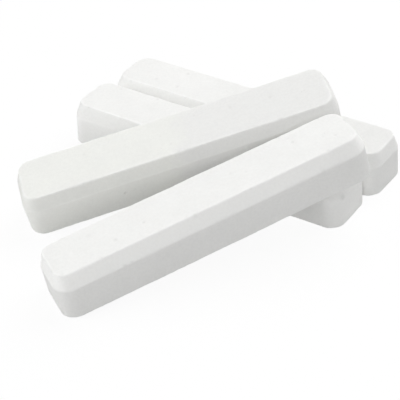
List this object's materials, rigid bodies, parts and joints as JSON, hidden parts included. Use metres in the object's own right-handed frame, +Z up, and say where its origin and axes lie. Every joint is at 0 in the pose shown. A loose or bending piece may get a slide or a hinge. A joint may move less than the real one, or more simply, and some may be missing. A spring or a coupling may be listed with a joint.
{
  "type": "gymnastics chalk bars",
  "caption": "Pile of long moulded white chalk bars with bevelled tops, two lying side by side and two leaning across them",
  "frame": {"origin": "centre of the pile's box, on the surface that it lies on", "axes": "+Z up; +X to the right, along the upper bars' general direction; +Y away from the front of the pile"},
  "size_m": [0.166, 0.1702, 0.0503],
  "materials": {
    "chalk": "matt, dry pressed magnesium carbonate with fine dust, small air pits and worn edges"
  },
  "bodies": {
    "lower_front_bar": {"lower_front_bar": "chalk"},
    "lower_rear_bar": {"lower_rear_bar": "chalk"},
    "upper_rear_bar": {"upper_rear_bar": "chalk"},
    "upper_front_bar": {"upper_front_bar": "chalk"}
  },
  "joints": [
    {"name": "upper_rear_lift", "type": "slide", "parent": "lower_front_bar", "child": "upper_rear_bar", "axis": [0, 0, 1], "range_m": [0, 0.1]},
    {"name": "upper_front_lift", "type": "slide", "parent": "lower_front_bar", "child": "upper_front_bar", "axis": [0.1962, -0.4599, 0.866], "range_m": [0, 0.1]},
    {"name": "lower_rear_slide", "type": "slide", "parent": "lower_front_bar", "child": "lower_rear_bar", "axis": [0.5721, 0.8201, 0], "range_m": [0, 0.08]}
  ]
}
